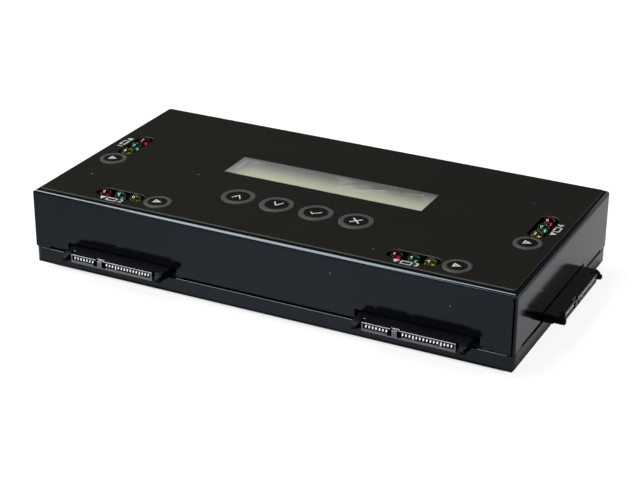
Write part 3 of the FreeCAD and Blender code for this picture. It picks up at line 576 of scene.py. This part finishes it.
lamp_length = 8.6 * MM
lamp_steps = 40
dome_steps = 10
lead_side = 0.5 * MM
lead_spacing = 2.54 * MM
cup_rim = 1.15 * MM
cup_floor = 0.5 * MM
cup_depth = 0.7 * MM
cup_wall = 0.12 * MM
cup_below_dome = 0.2 * MM
lamp_tints = {"red": (0.34, 0.012, 0.03), "green": (0.1, 0.32, 0.21), "yellow": (0.42, 0.4, 0.1)}
green_places = []
for colour, tint in lamp_tints.items():
    resin = plain_finish(f"{colour}_resin", tint, roughness=0.06, tone_change=0.25, patch_scale=900.0,
                         roughness_change=0.02, grain_depth=0.001 * MM, Transmission_Weight=0.95, IOR=1.5,
                         Specular_Tint=(0.3, 0.3, 0.3, 1.0))
    domes = bmesh.new()
    leads = bmesh.new()
    for low, high in separate_boxes(f"{colour}_lamps"):
        radius = (high.x - low.x) / 2
        dome_z = high.z - radius
        middle = Vector(((low.x + high.x) / 2, (low.y + high.y) / 2, 0))
        turns = [math.pi / 2 * step / dome_steps for step in range(dome_steps + 1)]
        outline = [(0, high.z - lamp_length), (radius, high.z - lamp_length)]
        outline += [(radius * math.cos(turn), dome_z + radius * math.sin(turn)) for turn in turns[:-1]]
        dome = spun(domes, outline + [(0, high.z)], lamp_steps)
        bmesh.ops.translate(domes, vec=middle, verts=dome)
        rim_z = dome_z - cup_below_dome
        floor_z = rim_z - cup_depth
        under_z = floor_z - cup_wall
        metal = spun(leads, [(0, floor_z), (cup_floor, floor_z), (cup_rim, rim_z),
                             (cup_rim + cup_wall, rim_z), (cup_floor + cup_wall, under_z),
                             (0, under_z)], lamp_steps)
        for way, top in ((-1, under_z), (1, floor_z)):
            x = way * lead_spacing / 2
            metal += bar_between(leads, (x - lead_side / 2, -lead_side / 2, low.z),
                                 (x + lead_side / 2, lead_side / 2, top))
        bmesh.ops.translate(leads, vec=middle, verts=metal)
        if colour == "green":
            green_places.append(middle)
    bmesh.ops.recalc_face_normals(domes, faces=domes.faces)
    bmesh.ops.recalc_face_normals(leads, faces=leads.faces)
    lamps = add_piece(domes, f"{colour}_lamp_domes", "case", f"lamp_{colour}", resin)
    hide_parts(f"{colour}_lamps")
    add_piece(leads, f"{colour}_lamp_leads", "case", "pin_nickel", pin_nickel)


# Cover: the upper shell, folded from the same sheet and sprayed with the same paint.
# Its four walls meet in open slits at the upright corners, and the columns hold it down from inside.

cover_edge = 0.1 * MM
finished_copy("cover_shell", cover_edge, "case_paint", case_paint)


# Overlay: a printed film stuck on the cover, matt on top, with clear pale cut edges.
# Beside each row of lamps it has a printed mark: an arrow to the port, a drive and the port's number.

overlay_print = plain_finish("overlay_print", (0.0185, 0.018, 0.0148), roughness=0.3, tone_change=0.06,
                             patch_scale=40.0, roughness_change=0.01, grain_scale=5000.0,
                             grain_depth=0.003 * MM, Specular_IOR_Level=0.05)
add_dust(overlay_print, (0.4, 0.4, 0.37), spacing=3 * MM, size=0.35 * MM, amount=0.06)
overlay_edge = plain_finish("overlay_edge", (0.2, 0.195, 0.18), roughness=0.3, Specular_IOR_Level=0.2)
form = flat_form("panel_overlay")
mark_side_faces(form)
overlay = add_piece(form, "panel_overlay_finished", "case", "overlay_print", overlay_print, overlay_edge)
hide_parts("panel_overlay")

arrow_width = 2.6 * MM
arrow_height = 2.4 * MM
drive_width = 4.2 * MM
drive_height = 2.5 * MM
mark_stroke = 0.45 * MM
number_height = 3.4 * MM
letter_bold = 0.06 * MM
mark_outward = 5.4 * MM
arrow_shift = -4.4 * MM
drive_shift = -0.4 * MM
number_shift = 3.4 * MM


def drawn_text(form, text, height):
    curve = bpy.data.curves.new("lettering", "FONT")
    curve.body = text
    curve.size = height
    curve.offset = letter_bold
    curve.align_x = "CENTER"
    curve.align_y = "CENTER"
    letter = bpy.data.objects.new("lettering", curve)
    mesh = bpy.data.meshes.new_from_object(letter)
    form.from_mesh(mesh)
    bmesh.ops.remove_doubles(form, verts=form.verts, dist=merge_distance)
    bpy.data.objects.remove(letter)
    bpy.data.curves.remove(curve)
    bpy.data.meshes.remove(mesh)


def add_mark(draws, name, body, place, right=Vector((1, 0, 0))):
    # Flat drawings are set side by side on one plane and raised by the thickness of the ink.
    form = bmesh.new()
    for draw, shift in draws:
        start = set(form.verts)
        draw(form)
        bmesh.ops.translate(form, vec=(shift, 0, 0), verts=[v for v in form.verts if v not in start])
    raise_print(form, ink_thickness)
    turn = Matrix.Rotation(math.atan2(right.y, right.x), 4, "Z")
    bmesh.ops.transform(form, matrix=Matrix.Translation(place) @ turn, verts=form.verts)
    add_piece(form, name, body, "overlay_print", panel_ink)


def drawn_arrow(form):
    drawn_outline(form, ((-arrow_width / 2, arrow_height / 2), (0, -arrow_height / 2),
                         (arrow_width / 2, arrow_height / 2)))


def drawn_drive(form):
    hollow_out(form, drawn_bar(form, drive_width, drive_height), mark_stroke)


panel_ink = plain_finish("panel_ink", (0.8, 0.8, 0.78), roughness=0.5, tone_change=0.06,
                         patch_scale=900.0, Specular_IOR_Level=0.2)
overlay_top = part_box("panel_overlay")[1].z
for number, outward in port_outward.items():
    port_low, port_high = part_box(f"drive_port_{number}")
    row = min(green_places, key=lambda middle: (middle - (port_low + port_high) / 2).to_2d().length)
    spot = row + outward * mark_outward
    spot.z = overlay_top
    add_mark(((drawn_arrow, arrow_shift), (drawn_drive, drive_shift),
              (lambda form: drawn_text(form, str(number), number_height), number_shift)),
             f"port_mark_{number}", "case", spot, right=Vector((-outward.y, outward.x, 0)))


# Window lens: a clear plate in the cover's opening, held under the overlay's rim.
# The thin film that protects it still lies on it, creased, a hair above the lens.

lens_clear = plain_finish("lens_clear", (0.75, 0.8, 0.76), roughness=0.08, tone_change=0.05,
                          roughness_change=0.02, grain_depth=0.0005 * MM, Alpha=0.12,
                          Specular_IOR_Level=0.3)
dress(lens_clear, "window_lens")

lens_lap = 3.0 * MM
film_edge_gap = 0.1 * MM
film_lift = 0.08 * MM
film_thickness = 0.03 * MM
film_grid = (164, 33)
fold_width = 0.9 * MM
# Each fold runs from one point to another, as shares of the window's width and depth, and has a height.
folds = (((0.032, 0.3), (0.035, 0.86), 0.13), ((0.035, 0.86), (0.1, 0.84), 0.1),
         ((0.49, 0.95), (0.55, 0.52), 0.09), ((0.55, 0.35), (0.6, 0.6), 0.13),
         ((0.6, 0.6), (0.68, 0.84), 0.1), ((0.63, 0.35), (0.76, 0.69), 0.14),
         ((0.76, 0.69), (0.87, 0.77), 0.1), ((0.81, 1.0), (0.87, 0.77), 0.08),
         ((0.87, 0.77), (0.94, 0.86), 0.12))
# The facets between folds are triangles painted lighter as painted light, or darker as painted shade
# where the last value is below 0.
facets = (((0.0, 0.0), (0.0, 1.0), (0.05, 0.9), 0.1), ((0.035, 1.0), (0.06, 0.6), (0.14, 0.9), 0.15),
          ((0.47, 1.05), (0.55, 0.45), (0.62, 0.9), 0.25), ((0.53, 0.5), (0.55, 0.3), (0.62, 0.65), 0.3),
          ((0.53, 0.2), (0.6, 0.65), (0.72, 0.35), 0.25), ((0.62, 0.3), (0.77, 0.72), (0.84, 0.4), 0.2),
          ((0.66, 0.84), (0.82, 1.0), (0.71, 0.55), -0.35),
          ((0.6, 1.02), (0.68, 0.8), (0.74, 1.05), -0.15),
          ((0.79, 1.05), (0.84, 0.62), (0.88, 0.77), -0.25),
          ((0.87, 0.7), (0.95, 0.86), (0.9, 1.1), -0.15), ((0.92, 0.86), (1.02, 1.1), (1.02, -0.1), 0.25))
facet_softness = 0.2
lens_low, lens_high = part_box("window_lens")
inset = Vector((lens_lap + film_edge_gap, lens_lap + film_edge_gap, 0))
film_low = lens_low + inset
film_high = lens_high - inset
film_size = film_high - film_low


def fold_rise(point):
    # How much the film stands up at a point: the highest of the folds that pass there.
    rise = 0.0
    for start, end, height in folds:
        a = Vector((start[0] * film_size.x, start[1] * film_size.y))
        b = Vector((end[0] * film_size.x, end[1] * film_size.y))
        share = max(0.0, min(1.0, (point - a).dot(b - a) / (b - a).length_squared))
        away = (point - a - share * (b - a)).length
        rise = max(rise, height * math.exp(-away / fold_width))
    return rise


def facet_light(point):
    # The painted light on a point is the sum of its facets' painted light, which fades towards their
    # borders; below 0 it is painted shade.
    light = 0.0
    for *corners, strength in facets:
        a, b, c = (Vector(corner) for corner in corners)
        whole = (b - a).cross(c - a)
        sides = ((a, b), (b, c), (c, a))
        inside = min((end - point).cross(start - point) / -whole for start, end in sides)
        light += strength * max(0.0, min(1.0, inside / facet_softness))
    return light


form = bmesh.new()
bmesh.ops.create_grid(form, x_segments=film_grid[0], y_segments=film_grid[1], size=0.5)
bmesh.ops.scale(form, vec=(film_size.x, film_size.y, 1), verts=form.verts)
bmesh.ops.translate(form, vec=(film_size.x / 2, film_size.y / 2, 0), verts=form.verts)
crease = form.verts.layers.float.new("crease")
lit = form.verts.layers.float.new("lit")
highest_fold = max(height for _, _, height in folds)
for vert in form.verts:
    rise = fold_rise(vert.co.to_2d())
    vert[crease] = rise / highest_fold
    vert[lit] = facet_light(Vector((vert.co.x / film_size.x, vert.co.y / film_size.y)))
    vert.co.z = rise * MM
bmesh.ops.solidify(form, geom=form.faces[:], thickness=film_thickness)
bmesh.ops.translate(form, vec=(film_low.x, film_low.y, lens_high.z + film_lift), verts=form.verts)
film_front = (0.84, 0.88, 0.66)
film_rear_left = (0.31, 0.31, 0.325)
film_rear_right = (0.22, 0.22, 0.235)
# Paler colour for the film's painted light on lit facets and its painted highlight along raised folds;
# the next one is for painted shade.
film_painted_highlight = (0.85, 0.86, 0.82)
film_shade = (0.12, 0.12, 0.125)
film_rear_from = film_low.y + 0.05 * film_size.y
film_left_from = film_low.x + 0.12 * film_size.x
film_left_share = 0.75
fold_highlight_from = 0.45
film_clear = plain_finish("film_clear", film_front, roughness=0.22, tone_change=0.04, patch_scale=60.0,
                          roughness_change=0.04, grain_depth=0.004 * MM, Specular_IOR_Level=0.4,
                          Alpha=0.7)
tree = film_clear.node_tree
film_place = node(tree, "ShaderNodeSeparateXYZ", {0: object_place(tree)}).outputs
to_right = ramp_up(tree, film_place["X"], film_low.x, film_high.x)
film_rear = mixed(tree, to_right, (*film_rear_left, 1.0), (*film_rear_right, 1.0))
lay_over(film_clear, ramp_up(tree, film_place["Y"], film_rear_from, film_high.y), film_rear)
left_end = ramp_up(tree, film_place["X"], film_left_from, film_low.x)
lay_over(film_clear, math_node(tree, "MULTIPLY", left_end, film_left_share), film_rear_left)
# Lit facets are painted lighter as painted light, shaded facets darker as painted shade.
lit_by = node(tree, "ShaderNodeAttribute", attribute_name="lit").outputs["Fac"]
lay_over(film_clear, math_node(tree, "MULTIPLY", lit_by, 1.0, clamp=True), film_painted_highlight)
lay_over(film_clear, math_node(tree, "MULTIPLY", lit_by, -1.0, clamp=True), film_shade)
raised = node(tree, "ShaderNodeAttribute", attribute_name="crease").outputs["Fac"]
# Raised folds are painted lighter: a painted highlight along the creases.
lay_over(film_clear, ramp_up(tree, raised, fold_highlight_from, 1.0), film_painted_highlight)
add_piece(form, "window_film", "case", "lens_clear", film_clear, smooth_under=60)


# Keys: grey moulded caps with a rounded rim and a dark printed middle, sunk a little inside it.
# Each has a plain white sign: arrows, a tick and a cross for the menu, a start sign for the ports.

sign_size = 4.0 * MM
sign_stroke = 0.65 * MM
small_sign_half = sign_size / 2.6


def drawn_chevron(form):
    half = 0.45 * sign_size
    rise = 0.35 * sign_size
    drop = 1.5 * sign_stroke
    drawn_outline(form, ((-half, -rise), (0, rise), (half, -rise), (half, -rise - drop),
                         (0, rise - drop), (-half, -rise - drop)))


def drawn_chevron_down(form):
    drawn_chevron(form)
    bmesh.ops.rotate(form, verts=form.verts, cent=(0, 0, 0), matrix=Matrix.Rotation(math.pi, 3, "Z"))


def drawn_tick(form):
    half = sign_size / 2
    knee = -half / 3
    rise = half / 1.6
    drawn_outline(form, ((-half, 0), (knee, -rise), (half, rise), (half, rise - sign_stroke),
                         (knee, -rise - sign_stroke), (-half, -sign_stroke)))


def drawn_cross(form):
    half = small_sign_half
    bar = sign_stroke / math.sqrt(2)
    drawn_outline(form, ((-half, -half - bar), (0, -bar), (half, -half - bar), (half + bar, -half),
                         (bar, 0), (half + bar, half), (half, half + bar), (0, bar),
                         (-half, half + bar), (-half - bar, half), (-bar, 0), (-half - bar, -half)))


def drawn_start(form):
    half = small_sign_half
    hollow_out(form, drawn_outline(form, ((-half, -half), (half, 0), (-half, half))), sign_stroke)


key_grey = plain_finish("key_grey", (0.1, 0.098, 0.092), roughness=0.4, grain_depth=0.01 * MM,
                        Specular_IOR_Level=0.05)
key_dark = plain_finish("key_dark", (0.0125, 0.012, 0.0115), roughness=0.4, grain_depth=0.006 * MM,
                        Specular_IOR_Level=0.03)
menu_signs = {"up": drawn_chevron, "down": drawn_chevron_down, "ok": drawn_tick, "esc": drawn_cross}
key_signs = {**menu_signs, **{f"start_{number}": drawn_start for number in port_numbers}}
ring_share = 0.25
middle_drop = 0.08 * MM
middle_slope = 0.1 * MM
key_edge = 0.12 * MM
for name, draw in key_signs.items():
    form = flat_form(f"{name}_key")
    key_low, key_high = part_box(f"{name}_key")
    on_top = [face for face in form.faces if face.calc_center_median().z > key_high.z - level_within]
    top_face = max(on_top, key=lambda face: face.calc_area())
    top_radius = max((v.co - top_face.calc_center_median()).length for v in top_face.verts)
    bmesh.ops.inset_region(form, faces=[top_face], thickness=ring_share * top_radius)
    bmesh.ops.inset_region(form, faces=[top_face], thickness=middle_slope, depth=-middle_drop)
    top_face.material_index = 1
    round_edges(form, key_edge, sharper_than=25)
    key = add_piece(form, f"{name}_key_finished", f"{name}_button", "key_grey", key_grey, key_dark)
    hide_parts(f"{name}_key")
    dress(dull_moulding, f"{name}_plunger")
    spot = (key_low + key_high) / 2
    spot.z = key_high.z - middle_drop
    add_mark(((draw, 0.0),), f"{name}_sign", f"{name}_button", spot)


# Case screws: plated steel with plain round heads, one to a column.
# They are driven from below through the tray, the lower spacers and the main board.

screw_steel = plain_finish("screw_steel", (0.5, 0.5, 0.5), roughness=0.32, Metallic=1.0)
dress(screw_steel, "case_screws")


# Studio: a plain pale floor that glows almost white to the camera and keeps the shadow, with its glow cut
# off just under the case's edge as a painted shadow. In what the gloss mirrors, its glow is painted dark
# close to the case as a painted shadow, and painted dimmer to either side of the middle.
# One wide soft lamp hangs above and to the left, and pale cards stand in front and behind.

floor_reach = 8.0
floor_grey = (0.34, 0.34, 0.34, 1.0)
seen_glow = 0.9
seen_glow_from = (-8 * MM, -4 * MM)
mirrored_glow = 0.8
mirrored_glow_from = (0.0, 8 * MM)
mirrored_middle = 5 * MM
mirrored_fades = (20 * MM, 140 * MM)
mirrored_fade = 0.35
form = bmesh.new()
bmesh.ops.create_grid(form, x_segments=1, y_segments=1, size=floor_reach)
floor_mesh = bpy.data.meshes.new("floor")
form.to_mesh(floor_mesh)
form.free()
floor = bpy.data.objects.new("floor", floor_mesh)
bpy.context.scene.collection.objects.link(floor)
floor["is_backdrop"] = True
floor_pale = bpy.data.materials.new("floor_pale")
floor_pale.use_nodes = True
tree = floor_pale.node_tree
tree.nodes.clear()
paths = node(tree, "ShaderNodeLightPath").outputs
matt = node(tree, "ShaderNodeBsdfDiffuse", {"Color": floor_grey})
floor_place = node(tree, "ShaderNodeSeparateXYZ", {0: object_place(tree)}).outputs
case_middle = (case_low + case_high) / 2
case_half = (case_high - case_low) / 2


def away_from(place, middle):
    return math_node(tree, "ABSOLUTE", math_node(tree, "SUBTRACT", place, middle))


# Near and under the case's footprint the glow fades out: a painted shadow, for the camera and in
# reflections.
past_sides = math_node(tree, "SUBTRACT", away_from(floor_place["X"], case_middle.x), case_half.x)
past_ends = math_node(tree, "SUBTRACT", away_from(floor_place["Y"], case_middle.y), case_half.y)
past_edge = math_node(tree, "MAXIMUM", past_sides, past_ends)
seen = math_node(tree, "MULTIPLY", math_node(tree, "MULTIPLY", paths["Is Camera Ray"], seen_glow),
                 ramp_up(tree, past_edge, *seen_glow_from))
mirrored = math_node(tree, "MULTIPLY", ramp_up(tree, past_edge, *mirrored_glow_from),
                     math_node(tree, "MAXIMUM", paths["Is Glossy Ray"], paths["Is Transmission Ray"]))
# In reflections the glow is painted dimmer away from the middle: a painted reflection.
fade = ramp_up(tree, away_from(floor_place["X"], mirrored_middle), *mirrored_fades)
glow_left = math_node(tree, "MULTIPLY_ADD", fade, -mirrored_fade * mirrored_glow, mirrored_glow)
strength = math_node(tree, "MULTIPLY_ADD", mirrored, glow_left, seen)
glow = node(tree, "ShaderNodeEmission", {"Color": (1, 1, 1, 1), "Strength": strength})
both = node(tree, "ShaderNodeAddShader", {0: matt.outputs[0], 1: glow.outputs[0]})
node(tree, "ShaderNodeOutputMaterial", {"Surface": both.outputs[0]})
floor_mesh.materials.append(floor_pale)

world = bpy.data.worlds.new("even_light")
bpy.context.scene.world = world
world.use_nodes = True
even_light = world.node_tree.nodes["Background"].inputs
even_light["Color"].default_value = (0.95, 0.97, 1.0, 1.0)
even_light["Strength"].default_value = 0.06


def softbox(name, place, aim, width, depth, watts):
    light = bpy.data.lights.new(name, "AREA")
    light.shape = "RECTANGLE"
    light.size = width
    light.size_y = depth
    light.energy = watts
    lamp = bpy.data.objects.new(name, light)
    bpy.context.scene.collection.objects.link(lamp)
    lamp.location = place
    lamp.rotation_euler = (Vector(aim) - Vector(place)).to_track_quat("-Z", "Y").to_euler()
    return lamp


# A second lamp just under the wide one is seen in reflections only, so that gloss shows on black paint.
upper_place = Vector((-0.48, -0.3, 1.0))
upper_aim = Vector((-0.48, -0.3, 0.0))
gleam_place = upper_place.lerp(upper_aim, 0.02)
upper_size = {"width": 0.8, "depth": 1.05}
softbox("upper_key", upper_place, upper_aim, watts=10.5, **upper_size)
gleam = softbox("upper_gleam", gleam_place, upper_aim, watts=42.0, **upper_size)
gleam.visible_diffuse = False
gleam.visible_transmission = False
softbox("left_fill", (-1.0, -0.45, 0.3), (0, 0, 0), width=0.35, depth=0.35, watts=3.0)
softbox("front_card", (-0.3, -1.6, 0.5), (-0.3, 0, 0.5), width=3.0, depth=1.0, watts=9.0)
softbox("back_card", (1.0, 1.5, 0.6), (0.2, 0, 0.2), width=1.0, depth=0.9, watts=3.5)

bpy.context.scene.view_settings.view_transform = "Standard"


# Camera at the photograph's viewing angle, about half a metre away with a long lens.
# Its place is measured from the case, and it is tipped a little to one side.

camera_place = Vector((258.5 * MM, case_low.y - 476.5 * MM, case_high.z + 251.0 * MM))
camera_azimuth = math.radians(26.22)
camera_elevation = math.radians(24.86)
camera_roll = math.radians(0.44)
camera_data = bpy.data.cameras.new("camera")
camera_data.sensor_width = 36
camera_data.lens = 96.2
camera = bpy.data.objects.new("camera", camera_data)
bpy.context.scene.collection.objects.link(camera)
ahead = Vector((-math.sin(camera_azimuth) * math.cos(camera_elevation),
                math.cos(camera_azimuth) * math.cos(camera_elevation), -math.sin(camera_elevation)))
camera.location = camera_place
camera.rotation_mode = "QUATERNION"
camera.rotation_quaternion = ahead.to_track_quat("-Z", "Y") @ Quaternion((0, 0, 1), camera_roll)
bpy.context.scene.camera = camera

low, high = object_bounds()
